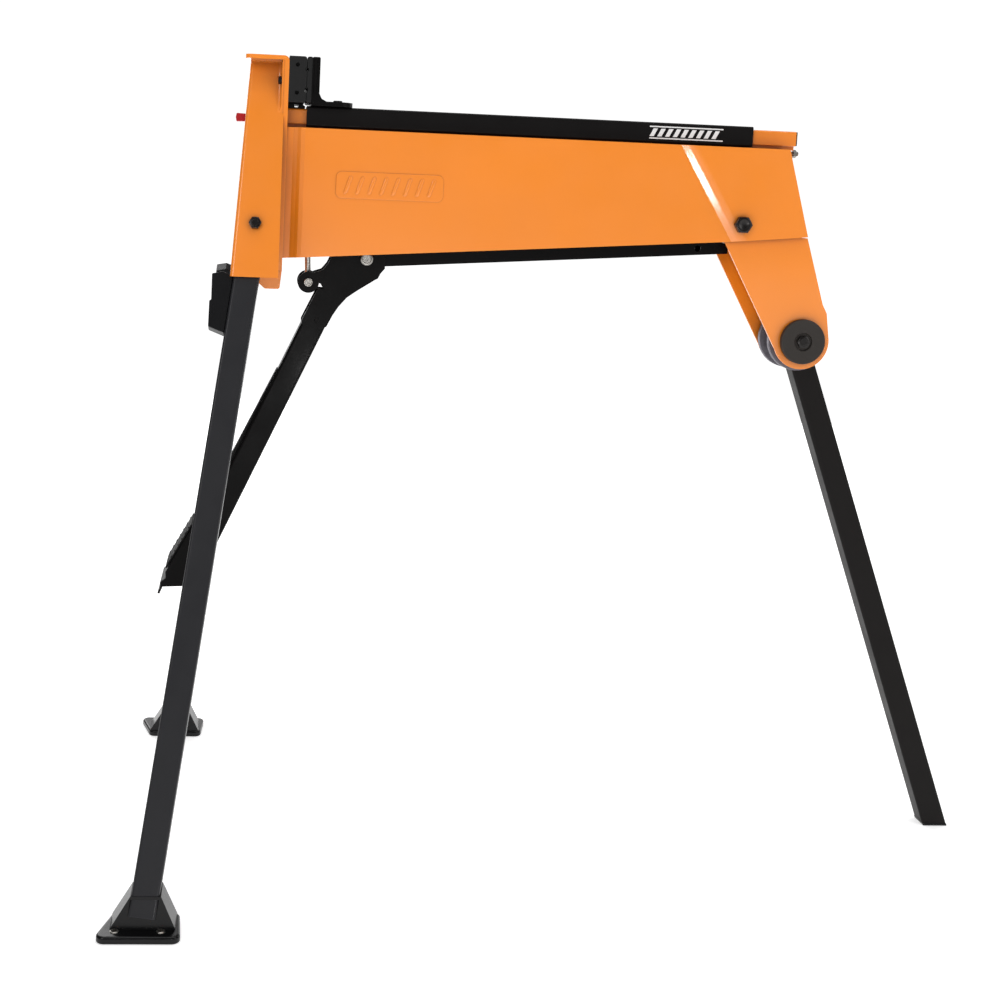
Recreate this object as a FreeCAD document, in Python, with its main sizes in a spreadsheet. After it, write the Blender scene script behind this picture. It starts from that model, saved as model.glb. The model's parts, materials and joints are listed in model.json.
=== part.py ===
import FreeCAD, Part
import math
import os
import re
import Sketcher

# A foot-operated clamping stand on three legs.
# +X runs from the fixed jaw at the front to the rear leg, +Y to the left of a user at the front, +Z up.
# The origin is on the floor, at the middle of the stand's outer box.

DIMENSIONS = [
    # fixed jaw and chassis front
    ("jaw_top", 956.0),
    ("jaw_half", 36.0),             # half width of the jaws and pads
    ("jaw_sheet", 5.0),
    ("jaw_bolt_y", 30.5),
    ("jaw_bolt_z", 927.0),
    ("plate_back", -363.0),         # rear face of the upright jaw plate
    ("flange_front", -415.0),
    ("plate_low", 700.0),
    ("pad_low", 902.0),
    ("pad_thick", 21.0),
    ("moving_pad", 6.0),
    ("moving_wall", 9.5),
    ("jaw_gap", 0.5),
    ("lobe_back", -285.0),
    ("lobe_top", 904.0),
    # rail and bar
    ("chassis_top", 872.0),
    ("rail_top", 895.0),
    ("rail_low", 877.0),
    ("rail_half", 21.0),
    ("neck_half", 14.0),
    ("rail_end", 266.0),
    ("rail_wall", 3.0),
    ("bar_top", 898.5),
    ("bar_low", 873.6),
    ("bar_half", 25.0),
    ("bar_wall", 2.2),
    ("bar_front", -340.0),
    ("bar_rear", 210.0),
    # chassis
    ("sheet", 2.5),
    ("shell_half", 36.0),
    ("flare", 3.0),
    ("crease_wide", 12.0),          # the slope between the flat side and its raised rear part
    ("crease_radius", 40.0),
    ("neck_step", 4.5),             # how far the sides step in behind the jaw plate
    ("shell_low_front", 715.0),
    ("shell_low_rear", 756.0),
    ("shell_kink", 181.0),
    ("shell_top_rear", 253.0),
    ("shell_rear", 283.0),
    ("shell_low_end", 766.0),
    # front housing
    ("housing_top", 951.0),
    ("housing_low", 695.0),
    ("housing_kink", 772.0),
    ("housing_half", 13.0),         # half width at the top
    ("housing_lip", 35.0),
    ("housing_lip_low", 870.0),
    ("housing_wall", 3.0),
    ("housing_front_top", -409.0),
    ("housing_front_low", -424.0),
    # front legs
    ("leg_size", 30.0),
    ("leg_wall", 2.0),
    ("leg_gap", 1.5),
    ("leg_pivot_x", -397.0),
    ("leg_pivot_y", 62.0),
    ("leg_pivot_z", 751.0),
    ("leg_foot_x", -492.0),
    ("leg_foot_y", 289.0),
    ("leg_foot_z", 8.0),
    ("leg_above", 12.0),
    ("leg_bolt_radius", 4.0),
    ("running_gap", 0.06),
    # feet
    ("foot_outer", 317.0),
    ("foot_outer_front", -541.0),
    ("foot_inner", 261.0),
    ("foot_outer_back", -448.5),
    ("foot_inner_front", -524.0),
    ("foot_inner_back", -452.0),
    ("foot_thick", 8.0),
    ("foot_corner", 9.0),
    ("foot_socket_top", 42.0),
    ("foot_socket_wall", 1.4),
    ("foot_hole_radius", 3.5),
    ("foot_hole_y", 304.0),
    ("foot_hole_front", -519.0),
    ("foot_hole_back", -470.0),
    # rear leg and its plates
    ("hub_x", 287.0),
    ("hub_z", 636.0),
    ("rear_slope", 0.3697),         # run of the rear leg per unit of drop
    ("rear_width", 30.5),
    ("rear_half", 13.0),
    ("rear_top", 30.0),
    ("drop_half", 28.0),
    ("drop_sheet", 3.5),
    ("drop_radius", 35.0),
    ("drum_radius", 38.0),
    ("hub_bolt_radius", 6.0),
    ("cross_x", 199.0),
    ("cross_z", 778.0),
    # carrier rail and pedal
    ("carrier_half", 14.0),
    ("carrier_front", -276.0),
    ("carrier_rear", 191.0),
    ("carrier_tall", 30.0),
    ("carrier_drop", 16.0),
    ("pedal_pin_x", -260.0),
    ("pedal_pin_z", 717.0),
    ("nose_x", -330.0),
    ("nose_z", 686.0),
    ("pedal_pin_radius", 5.0),
    ("nose_pin_radius", 4.0),
    ("cheek_half", 16.0),
    ("cheek_sheet", 3.0),
    ("arm_half", 13.5),
    ("rivet_x", -318.0),
    ("rivet_z", 640.0),
    ("tread_half", 33.0),
    # crank and link
    ("crank_x", -285.0),
    ("crank_z", 800.0),
    ("link_top_x", -335.0),
    ("link_top_z", 790.0),
    ("link_radius", 3.6),
    # catches and lock switch
    ("catch_half", 12.0),
    ("switch_half", 9.0),
    ("switch_x", -424.0),
    ("switch_z", 882.0),
]

ALIASES = {name for name, _ in DIMENSIONS}
doc = FreeCAD.newDocument("clamping_stand")
sheet = doc.addObject("Spreadsheet::Sheet", "dims")
for row, (alias, size) in enumerate(DIMENSIONS, start=1):
    sheet.set(f"A{row}", alias)
    sheet.set(f"B{row}", str(size))
    sheet.setAlias(f"B{row}", alias)
doc.recompute()

NODES = []
PLANES = {"XY": "XY_Plane", "XZ": "XZ_Plane", "YZ": "YZ_Plane"}
AXES = {
    "X": FreeCAD.Rotation(FreeCAD.Vector(0, 1, 0), 90),
    "Y": FreeCAD.Rotation(FreeCAD.Vector(1, 0, 0), -90),
    "Z": FreeCAD.Rotation(),
}


def bound(text):
    """The expression with the sheet's name before each alias."""
    return re.sub(r"[a-z]\w*", lambda m: "dims." + m[0] if m[0] in ALIASES else m[0], str(text))


def size(text):
    """The expression's value now, in mm."""
    return float(sheet.evalExpression(bound(text)))


def keep(thing, label):
    """Makes this object the sub-part of that name."""
    thing.Label = label
    NODES.append((label, thing))
    return thing


def place(thing, x, y, z, turn=None):
    """Binds the object's place to the sheet, and turns it."""
    if turn is not None:
        thing.Placement = FreeCAD.Placement(FreeCAD.Vector(), turn)
    for axis, text in zip("xyz", (x, y, z)):
        thing.setExpression(f"Placement.Base.{axis}", bound(text))
    return thing


def cylinder(axis, x, y, z, radius, length):
    """A round bar that starts at the point and runs along the axis."""
    bar = doc.addObject("Part::Cylinder", "bar")
    bar.setExpression("Radius", bound(radius))
    bar.setExpression("Height", bound(length))
    return place(bar, x, y, z, AXES[axis])


def hexagon(axis, x, y, z, radius, length):
    """A six-sided head or nut, radius to its corners."""
    head = doc.addObject("Part::Prism", "hexagon")
    head.Polygon = 6
    head.setExpression("Circumradius", bound(radius))
    head.setExpression("Height", bound(length))
    return place(head, x, y, z, AXES[axis])


def block(x, y, z, along_x, along_y, along_z):
    """A box from its lowest corner."""
    box = doc.addObject("Part::Box", "block")
    box.setExpression("Length", bound(along_x))
    box.setExpression("Width", bound(along_y))
    box.setExpression("Height", bound(along_z))
    return place(box, x, y, z)


def fuse(*things):
    """One solid from several."""
    whole = doc.addObject("Part::MultiFuse", "joined")
    whole.Shapes = list(things)
    whole.Refine = True
    return whole


def cut(base, *tools):
    """The base less the tools."""
    tool = tools[0] if len(tools) == 1 else fuse(*tools)
    left = doc.addObject("Part::Cut", "trimmed")
    left.Base, left.Tool = base, tool
    return left


def common(first, second):
    """What the two solids share."""
    both = doc.addObject("Part::Common", "shared")
    both.Base, both.Tool = first, second
    return both


def group(*things):
    """Separate solids in one node."""
    several = doc.addObject("Part::Compound", "several")
    several.Links = list(things)
    return several


def mirrored(thing):
    """The object's twin across the XZ plane."""
    twin = doc.addObject("Part::Mirroring", "twin")
    twin.Source = thing
    twin.Normal = FreeCAD.Vector(0, 1, 0)
    return twin


def sketch(body, plane, offset):
    """An empty sketch on a plane of the body, moved along the plane's normal."""
    flat = body.newObject("Sketcher::SketchObject", "outline")
    support = [o for o in body.Origin.OriginFeatures if o.Role == PLANES[plane]]
    flat.AttachmentSupport = [(support[0], "")]
    flat.MapMode = "FlatFace"
    flat.setExpression("AttachmentOffset.Base.z", bound(offset))
    return flat


def pin_point(flat, index, point):
    """Ties the start (or the centre) of one piece of the sketch to expressions."""
    where = 3 if flat.Geometry[index].TypeId == "Part::GeomCircle" else 1
    for kind, text in zip(("DistanceX", "DistanceY"), point):
        tie = flat.addConstraint(Sketcher.Constraint(kind, -1, 1, index, where, size(text)))
        flat.setExpression(f"Constraints[{tie}]", bound(text))


def outline(body, plane, offset, points):
    """A closed outline of straight lines through bound points."""
    flat = sketch(body, plane, offset)
    spots = [FreeCAD.Vector(size(u), size(v), 0) for u, v in points]
    count = len(spots)
    for i in range(count):
        flat.addGeometry(Part.LineSegment(spots[i], spots[(i + 1) % count]))
    for i in range(count):
        flat.addConstraint(Sketcher.Constraint("Coincident", i, 2, (i + 1) % count, 1))
        pin_point(flat, i, points[i])
    return flat


def circles(body, plane, offset, centres, radius):
    """Circles of one radius at bound centres."""
    flat = sketch(body, plane, offset)
    up = FreeCAD.Vector(0, 0, 1)
    for i, (u, v) in enumerate(centres):
        flat.addGeometry(Part.Circle(FreeCAD.Vector(size(u), size(v), 0), up, size(radius)))
        pin_point(flat, i, (u, v))
        tie = flat.addConstraint(Sketcher.Constraint("Radius", i, size(radius)))
        flat.setExpression(f"Constraints[{tie}]", bound(radius))
    return flat


def ends(plane, low, high):
    """Offsets along a plane's normal where a pad and a pocket start. The XZ plane's normal is -Y."""
    if plane == "XZ":
        return f"-({high})", f"-({low})"
    return f"{low}", f"{high}"


def feature(body, kind, flat, length):
    """A pad or a pocket of that sketch."""
    made = body.newObject(kind, kind.split("::")[1].lower())
    made.Profile = flat
    made.setExpression("Length", bound(length))
    doc.recompute()
    return made


def pad(body, plane, low, high, points):
    """Adds the outline between two places along the plane's normal."""
    flat = outline(body, plane, ends(plane, low, high)[0], points)
    return feature(body, "PartDesign::Pad", flat, f"({high}) - ({low})")


def disc(body, plane, low, high, centre, radius):
    """Adds a round boss between two places along the plane's normal."""
    flat = circles(body, plane, ends(plane, low, high)[0], [centre], radius)
    return feature(body, "PartDesign::Pad", flat, f"({high}) - ({low})")


def checked_pocket(body, flat, length):
    """Cuts the sketch out of the body and makes sure that it removed material."""
    before = body.Shape.Volume
    made = feature(body, "PartDesign::Pocket", flat, length)
    if body.Shape.Volume > before - 1:
        raise ValueError(f"{body.Label}: a pocket removed nothing")
    return made


def pocket(body, plane, low, high, points):
    """Removes the outline between two places along the plane's normal."""
    flat = outline(body, plane, ends(plane, low, high)[1], points)
    return checked_pocket(body, flat, f"({high}) - ({low})")


def bores(body, plane, low, high, centres, radius):
    """Removes round holes between two places along the plane's normal."""
    flat = circles(body, plane, ends(plane, low, high)[1], centres, radius)
    return checked_pocket(body, flat, f"({high}) - ({low})")


def prism(plane, low, high, points):
    """A new body: one outline between two places."""
    body = doc.addObject("PartDesign::Body", "Body")
    pad(body, plane, low, high, points)
    return body


def dressed(body, kind, measure, amount, chosen):
    """A fillet or a chamfer on the edges that the test chooses."""
    base = body.Tip
    names = [f"Edge{i}" for i, e in enumerate(base.Shape.Edges, start=1) if chosen(e)]
    if not names:
        raise ValueError("no edge was chosen")
    made = body.newObject(kind, "dressed")
    made.Base = (base, names)
    setattr(made, measure, amount)
    doc.recompute()
    if made.Shape.isNull() or not made.Shape.isValid():
        raise ValueError(f"{kind} failed on {len(names)} edges")
    return made


def rounded(body, radius, chosen):
    """Fillets the chosen edges."""
    return dressed(body, "PartDesign::Fillet", "Radius", radius, chosen)


def sloped(body, deep, wide, chosen):
    """Slopes the chosen edges: a facet that deep and that wide."""
    made = dressed(body, "PartDesign::Chamfer", "Size", size(deep), chosen)
    made.ChamferType = "Two distances"
    made.Size2 = size(wide)
    doc.recompute()
    if made.Shape.isNull() or not made.Shape.isValid():
        raise ValueError("the facet failed")
    return made


def filleted(thing, radius, chosen):
    """Rounds the chosen edges of a solid that isn't a body."""
    made = doc.addObject("Part::Fillet", "filleted")
    made.Base = thing
    doc.recompute()
    made.Edges = [(i, radius, radius) for i, e in enumerate(thing.Shape.Edges, start=1) if chosen(e)]
    doc.recompute()
    if not made.Edges or made.Shape.isNull() or not made.Shape.isValid():
        raise ValueError("a fillet failed")
    return made


def along(axis, test=lambda middle: True):
    """A test for straight edges along an axis whose middle also passes a test."""
    def chosen(edge):
        if edge.Curve.TypeId != "Part::GeomLine":
            return False
        way = edge.tangentAt(edge.FirstParameter)
        return abs(getattr(way, axis)) > 0.999 and test(edge.CenterOfMass)
    return chosen


def rectangle(u0, v0, u1, v1):
    """Corner points of a rectangle."""
    return [(u0, v0), (u1, v0), (u1, v1), (u0, v1)]


def bolt(axis, x, y, z, way, head, head_long, shank, shank_long, nut_at=None):
    """A hex bolt whose head sits outside the point; way is +1 or -1 along the axis from head to shank."""
    along_axis = {"X": 0, "Y": 1, "Z": 2}[axis]
    start = [x, y, z]

    def piece(maker, radius, begin, end):
        low, high = (begin, end) if way > 0 else (f"-({end})", f"-({begin})")
        spot = list(start)
        spot[along_axis] = f"{start[along_axis]} + {low}"
        return maker(axis, *spot, radius, f"({high}) - ({low})")

    parts = [
        piece(hexagon, head, f"-{head_long}", "0"),
        piece(cylinder, shank, f"-{head_long} / 2", shank_long),
    ]
    if nut_at is not None:
        parts.append(piece(hexagon, head, nut_at, f"{nut_at} + {head_long}"))
    return fuse(*parts)


# ---------------------------------------------------------------- chassis

def chassis():
    """Folded shell, its rear cap and the T-shaped slide rail."""
    side = [
        ("plate_back", "shell_low_front"), ("shell_kink", "shell_low_rear"), ("shell_rear", "shell_low_end"),
        ("shell_top_rear", "chassis_top"), ("plate_back", "chassis_top"),
    ]
    shell = prism("XZ", "-shell_half", "shell_half", side)
    flare = [
        ("shell_kink + 6.5", "shell_low_rear + 0.64"), ("shell_rear", "shell_low_end"),
        ("shell_top_rear", "chassis_top"), ("shell_kink - 63.4", "chassis_top"),
    ]
    pad(shell, "XZ", "-shell_half - flare", "shell_half + flare", flare)
    outer = size("shell_half + flare") - 0.1
    crease = size("shell_kink")

    def at_crease(edge):
        return abs(edge.CenterOfMass.y) > outer and edge.CenterOfMass.x < crease

    sloped(shell, "flare - 0.05", "crease_wide", at_crease)
    rounded(shell, size("crease_radius"), at_crease)
    neck_end = "plate_back + 22"
    for side in ("-", ""):
        step = [
            ("plate_back - 1", f"{side}(shell_half + 1)"),
            ("plate_back - 1", f"{side}(shell_half - neck_step)"),
            ("plate_back + 8", f"{side}(shell_half - neck_step)"),
            ("plate_back + 13", f"{side}(shell_half - 3)"),
            ("plate_back + 17", f"{side}(shell_half - 1)"),
            (neck_end, f"{side}shell_half"),
            (neck_end, f"{side}(shell_half + 1)"),
        ]
        pocket(shell, "XY", "shell_low_front - 9", "chassis_top + 9", step)
    inner = [
        (neck_end, "shell_low_front - 20"), ("shell_kink", "shell_low_rear - 20"),
        ("shell_rear - sheet", "shell_low_end - 20"), ("shell_rear - sheet", "shell_low_end"),
        ("shell_top_rear - sheet", "chassis_top - sheet"), (neck_end, "chassis_top - sheet"),
    ]
    pocket(shell, "XZ", "sheet - shell_half", "shell_half - sheet", inner)
    pocket(shell, "XZ", "sheet + neck_step - shell_half", "shell_half - neck_step - sheet", rectangle(
        "plate_back - 1", "shell_low_front - 20", f"{neck_end} + 1", "chassis_top - sheet"))
    bores(shell, "XZ", "-60", "60", [("cross_x", "cross_z")], "hub_bolt_radius + 0.3")
    keep(shell, "chassis_shell")

    rail = prism("YZ", "plate_back", "rail_end", [
        ("-neck_half", "chassis_top"), ("neck_half", "chassis_top"), ("neck_half", "rail_low"),
        ("rail_half", "rail_low"), ("rail_half", "rail_top"), ("-rail_half", "rail_top"),
        ("-rail_half", "rail_low"), ("-neck_half", "rail_low"),
    ])
    top = size("rail_top")
    rounded(rail, 2.5, along("x", lambda m: m.z > top - 1))
    pocket(rail, "YZ", "plate_back - 1", "rail_end - rail_wall", rectangle(
        "rail_wall - rail_half", "rail_low + rail_wall", "rail_half - rail_wall", "rail_top - rail_wall"))
    keep(rail, "slide_rail")
    keep(prism("YZ", "rail_end", "rail_end + 1.6", rectangle(
        "0.4 - rail_half", "rail_low + 0.4", "rail_half - 0.4", "rail_top - 0.4")), "rail_end_cap")

    cap = prism("YZ", "rail_end - 10.5", "rail_end - 4", rectangle(
        "-16", "chassis_top - 6", "16", "chassis_top"))
    keep(cap, "rail_end_tab")
    keep(bolt("X", "rail_end + 4", "0", "chassis_top - 3.6", -1, 5.2, 7, 3, 7.9), "rail_end_screw")


def raised_fields():
    """Plain raised fields on both sides of the chassis."""
    field = prism("XZ", "-shell_half - 0.9", "-shell_half", rectangle("-302", "790", "-172", "822"))
    rounded(field, 7, along("y"))
    rounded(field, 0.6, lambda e: e.CenterOfMass.y < size("-shell_half - 0.8"))
    keep(group(field, mirrored(field)), "side_fields")


def jaw_plate():
    """Bent plate of the fixed jaw, its bolts, pad and screws."""
    plate = prism("XZ", "-jaw_half", "jaw_half", [
        ("plate_back - jaw_sheet", "plate_low"), ("plate_back", "plate_low"), ("plate_back", "jaw_top"),
        ("flange_front", "jaw_top"), ("flange_front", "jaw_top - jaw_sheet"),
        ("plate_back - jaw_sheet", "jaw_top - jaw_sheet"),
    ])
    top, back, front = size("jaw_top") - 0.1, size("plate_back") - 0.1, size("flange_front") + 8
    rounded(plate, 6, along("y", lambda m: m.z > top and m.x > back))
    rounded(plate, 7, along("z", lambda m: m.x < front))
    bolts_y = ("-jaw_bolt_y", "jaw_bolt_y")
    bores(plate, "YZ", "plate_back - 9", "plate_back + 9", [(y, "jaw_bolt_z") for y in bolts_y], "3.05")
    keep(plate, "front_jaw_plate")

    pad_front, pad_back = "plate_back", "plate_back + pad_thick"
    fixed = prism("YZ", pad_front, pad_back, rectangle("-jaw_half", "pad_low", "jaw_half", "jaw_top"))
    rounded(fixed, 3, along("y", lambda m: m.x > size(pad_back) - 1))
    for low in ("jaw_top - 17", "pad_low + 13"):
        pocket(fixed, "XZ", "-jaw_half - 1", "jaw_half + 1", rectangle(
            f"{pad_back} - 1.6", f"{low}", f"{pad_back} + 1", f"{low} + 4"))
    screws_y = ("-jaw_half + 14", "jaw_half - 14")
    middle = "(jaw_top + pad_low) / 2"
    bores(fixed, "YZ", f"{pad_back} - 6", f"{pad_back} + 1", [(y, middle) for y in screws_y], "6")
    ends_z = ("jaw_top - 10", "pad_low + 11")
    spots = [("plate_back + 10", z) for z in ends_z]
    bores(fixed, "XZ", "-jaw_half - 1", "-jaw_half + 6", spots, "2.6")
    bores(fixed, "XZ", "jaw_half - 6", "jaw_half + 1", spots, "2.6")
    keep(fixed, "fixed_jaw_pad")
    heads = [cylinder("X", f"{pad_back} - 6", y, middle, "5.4", "3") for y in screws_y]
    keep(group(*heads), "fixed_pad_screws")
    seat = "plate_back - jaw_sheet - housing_wall"
    bolts = [bolt("X", seat, y, "jaw_bolt_z", 1, 4.8, 4.6, 3, 7.8) for y in bolts_y]
    keep(group(*bolts), "jaw_plate_bolts")

    guide = prism("XZ", "-rail_half", "rail_half", [
        ("plate_back", "rail_top"), ("bar_front - 2", "rail_top"), ("bar_front - 2", "rail_top + 3"),
        ("bar_front - 8", "pad_low - 0.4"), ("plate_back", "pad_low - 0.4"),
    ])
    pocket(guide, "XZ", "-rail_half - 1", "rail_half + 1", rectangle(
        "plate_back + 8", "rail_top + 1.5", "plate_back + 13", "rail_top + 4.5"))
    keep(guide, "bar_guide")


# ---------------------------------------------------------------- front housing and legs

SPLAY = "(leg_foot_y - leg_pivot_y) / (leg_pivot_z - leg_foot_z)"
SPLAY_LENGTH = f"sqrt(1 + ({SPLAY})^2)"
LEG_LENGTH = ("sqrt((leg_pivot_x - leg_foot_x)^2 + (leg_foot_y - leg_pivot_y)^2"
              " + (leg_pivot_z - leg_foot_z)^2)")


def on_right_leg(thing):
    """Puts a piece drawn about the right leg's pivot in its place: +Z up the leg, -Y out of its side wall."""
    up = FreeCAD.Vector(
        size("leg_pivot_x - leg_foot_x"), size("leg_foot_y - leg_pivot_y"), size("leg_pivot_z - leg_foot_z"))
    inward = FreeCAD.Vector(0, up.z, -up.y)
    turn = FreeCAD.Rotation(inward.cross(up), inward, up, "ZYX")
    return place(thing, "leg_pivot_x", "-leg_pivot_y", "leg_pivot_z", turn)


def both_legs(thing, name):
    """Keeps the right leg's piece and its mirror image for the left leg."""
    keep(thing, f"{name}_right")
    keep(mirrored(thing), f"{name}_left")


def housing():
    """Pressed upright that holds both front legs: a shell open to the rear and below."""
    inside = "leg_size / 2 + leg_gap"

    def half_width(height, offset):
        return f"leg_pivot_y + {SPLAY} * (leg_pivot_z - ({height})) + ({offset}) * {SPLAY_LENGTH}"

    def front_view(low_z, top_z, inset):
        wall = f"{inside} + housing_wall - {inset}"
        left = [(f"-(housing_half - {inset})", top_z)]
        left += [(f"-({half_width(height, wall)})", height) for height in ("housing_kink", low_z)]
        right = [(f"-({u})", v) for u, v in reversed(left)]
        return left + right

    def side_view(low_z, top_z, inset, back):
        return [
            (f"housing_front_low + {inset}", low_z), (back, low_z), (back, top_z),
            (f"housing_front_top + {inset}", top_z),
        ]

    back = "plate_back - jaw_sheet"
    outer = common(
        prism("YZ", "housing_front_low - 9", back, front_view("housing_low", "housing_top", "0")),
        prism("XZ", "-150", "150", side_view("housing_low", "housing_top", "0", back)))
    inner_low, inner_top = "housing_low - 20", "housing_top - housing_wall"
    inner = common(
        prism("YZ", "housing_front_low - 9", "plate_back", front_view(inner_low, inner_top, "housing_wall")),
        prism("XZ", "-150", "150", side_view(inner_low, inner_top, "housing_wall", "plate_back")))
    lip_width = "2 * housing_half + 18"
    lips = [
        prism("YZ", f"{back} - housing_wall", back, rectangle(
            "-housing_lip", "housing_lip_low", "housing_lip", "housing_top")),
        block("housing_front_top + 1", "-housing_half - 9", "housing_top - 2", "36", lip_width, "2"),
    ]
    window_width = "2 * switch_half + 2.4"
    window = block("housing_front_low - 5", "-switch_half - 1.2", "switch_z - 6.4",
                   "30", window_width, "12.8")
    bolts_room = [cylinder("X", "plate_back - 20", y, "jaw_bolt_z", "3.05", "30")
                  for y in ("-jaw_bolt_y", "jaw_bolt_y")]
    bore = on_right_leg(group(cylinder("Y", "0", "-60", "0", "leg_bolt_radius", "60")))
    notch = on_right_leg(group(block("-60", "-catch_half - 1", "-80", "46", "2 * catch_half + 2", "36")))
    whole = fuse(outer, *lips)
    doc.recompute()
    rear, front = size(f"{back} - housing_wall"), size("housing_front_low")

    def bend(edge):
        """The corners between the sides and their rear lips, and the upright corners of the front."""
        middle, upright = edge.CenterOfMass, abs(edge.tangentAt(edge.FirstParameter).z) > 0.8
        at_lip = abs(middle.x - rear) < 0.1 and 12 < abs(middle.y) < 34
        return edge.Length > 20 and upright and (at_lip or middle.x < front + 14)

    openings = [inner, window, bore, mirrored(bore), notch, mirrored(notch), *bolts_room]
    keep(cut(filleted(whole, 4, bend), *openings), "front_housing")

    gusset = prism("XZ", "-30", "30", [
        ("plate_back - jaw_sheet", "plate_low"), ("plate_back - 27", "plate_low"), ("plate_back - 27", "683"),
        ("plate_back - 20", "677"), ("plate_back - 2", "677"), ("plate_back", "plate_low - 1"),
        ("plate_back", "plate_low")])
    rounded(gusset, 3, along("y", lambda m: m.z < size("plate_low") - 5))
    pocket(gusset, "XZ", "-27.5", "27.5", [
        ("plate_back - 24.5", "plate_low + 1"), ("plate_back - 24.5", "682"), ("plate_back - 4", "682"),
        ("plate_back - 4", "plate_low + 1")])
    keep(gusset, "front_gusset")


def leg_hinge():
    """Pivot bolt of each front leg and the inner ear that holds its end."""
    bore = cylinder("Y", "0", "10", "0", "leg_bolt_radius", "20")
    ear = fuse(block("-13", "leg_size / 2 + 2", "-13", "36", "3", "26"),
               block("20", "leg_size / 2 + 2", "-13", "3", "17", "26"))
    stud = cylinder("X", "-377", "-37", "leg_pivot_z", "5", "plate_back - jaw_sheet + 377")
    web = on_right_leg(group(cut(ear, bore)))
    leg_room = on_right_leg(group(block("-30", "-60", "-13", "52", "120", "26")))
    both_legs(fuse(web, cut(stud, leg_room)), "leg_ear")
    outside = "-(leg_size / 2 + leg_gap + housing_wall + 0.3)"
    pin = bolt("Y", "0", outside, "0", 1, 7.5, 5.3, "leg_bolt_radius", "leg_size + 17", "leg_size + 10")
    both_legs(on_right_leg(group(pin)), "leg_pivot_bolt")


def front_leg():
    """Square tube, its foot and its sliding catch."""
    half = "leg_size / 2"
    tube = prism("XY", f"9 - {LEG_LENGTH}", "leg_above", rectangle(f"-{half}", f"-{half}", half, half))
    rounded(tube, 3, along("z"))
    inner = f"({half} - leg_wall)"
    pocket(tube, "XY", f"-{LEG_LENGTH}", "leg_above - 3", rectangle(f"-{inner}", f"-{inner}", inner, inner))
    bores(tube, "XZ", "-30", "30", [("0", "0")], "leg_bolt_radius + running_gap")
    both_legs(on_right_leg(tube), "front_leg")

    sole = prism("XY", "0", "foot_thick", [
        ("foot_outer_front", "-foot_outer"), ("foot_outer_back", "-foot_outer"),
        ("foot_inner_back", "-foot_inner"), ("foot_inner_front", "-foot_inner")])
    rounded(sole, size("foot_corner"), along("z"))
    rounded(sole, 1.5, lambda e: e.CenterOfMass.z < 0.1)
    rounded(sole, 3, lambda e: e.CenterOfMass.z > size("foot_thick") - 0.1)
    spots = [("foot_hole_front", "-foot_hole_y"), ("foot_hole_back", "-foot_hole_y")]
    bores(sole, "XY", "-1", "foot_thick + 1", spots, "foot_hole_radius")
    climb = "(foot_socket_top - leg_foot_z)"
    top_x = f"leg_foot_x + {climb} * (leg_pivot_x - leg_foot_x) / (leg_pivot_z - leg_foot_z)"
    top_y = f"-leg_foot_y + {climb} * {SPLAY}"
    collar = f"{half} + foot_socket_wall"
    socket = doc.addObject("PartDesign::Body", "Body")
    sections = [
        outline(socket, "XY", "foot_thick - 0.5", rectangle(
            "foot_outer_front + 16", "-foot_outer + 17", "foot_outer_back - 6", "-foot_inner - 3")),
        outline(socket, "XY", "foot_socket_top", rectangle(
            f"{top_x} - ({collar})", f"{top_y} - ({collar})",
            f"{top_x} + ({collar})", f"{top_y} + ({collar})")),
    ]
    loft = socket.newObject("PartDesign::AdditiveLoft", "loft")
    loft.Profile, loft.Sections = sections[0], [sections[1]]
    doc.recompute()
    reach = f"{half} + 0.15"
    room = on_right_leg(group(block(
        f"-({reach})", f"-({reach})", f"9 - {LEG_LENGTH}", f"2 * ({reach})", f"2 * ({reach})", "200")))
    both_legs(cut(fuse(sole, socket), room), "front_foot")

    face = f"-{half} - 0.3"
    catch = prism("XZ", "-catch_half", "catch_half", [
        (face, "-64"), (f"{face} - 13", "-61"), (f"{face} - 25", "-65"), (f"{face} - 21", "-96"),
        (f"{face} - 23", "-97.5"), (f"{face} - 19.5", "-128"), (f"{face}", "-133")])
    rounded(catch, 1.6, along("y", lambda m: m.x < -25))
    both_legs(on_right_leg(group(catch)), "leg_catch")


# ---------------------------------------------------------------- sliding bar with the moving jaw

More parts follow.
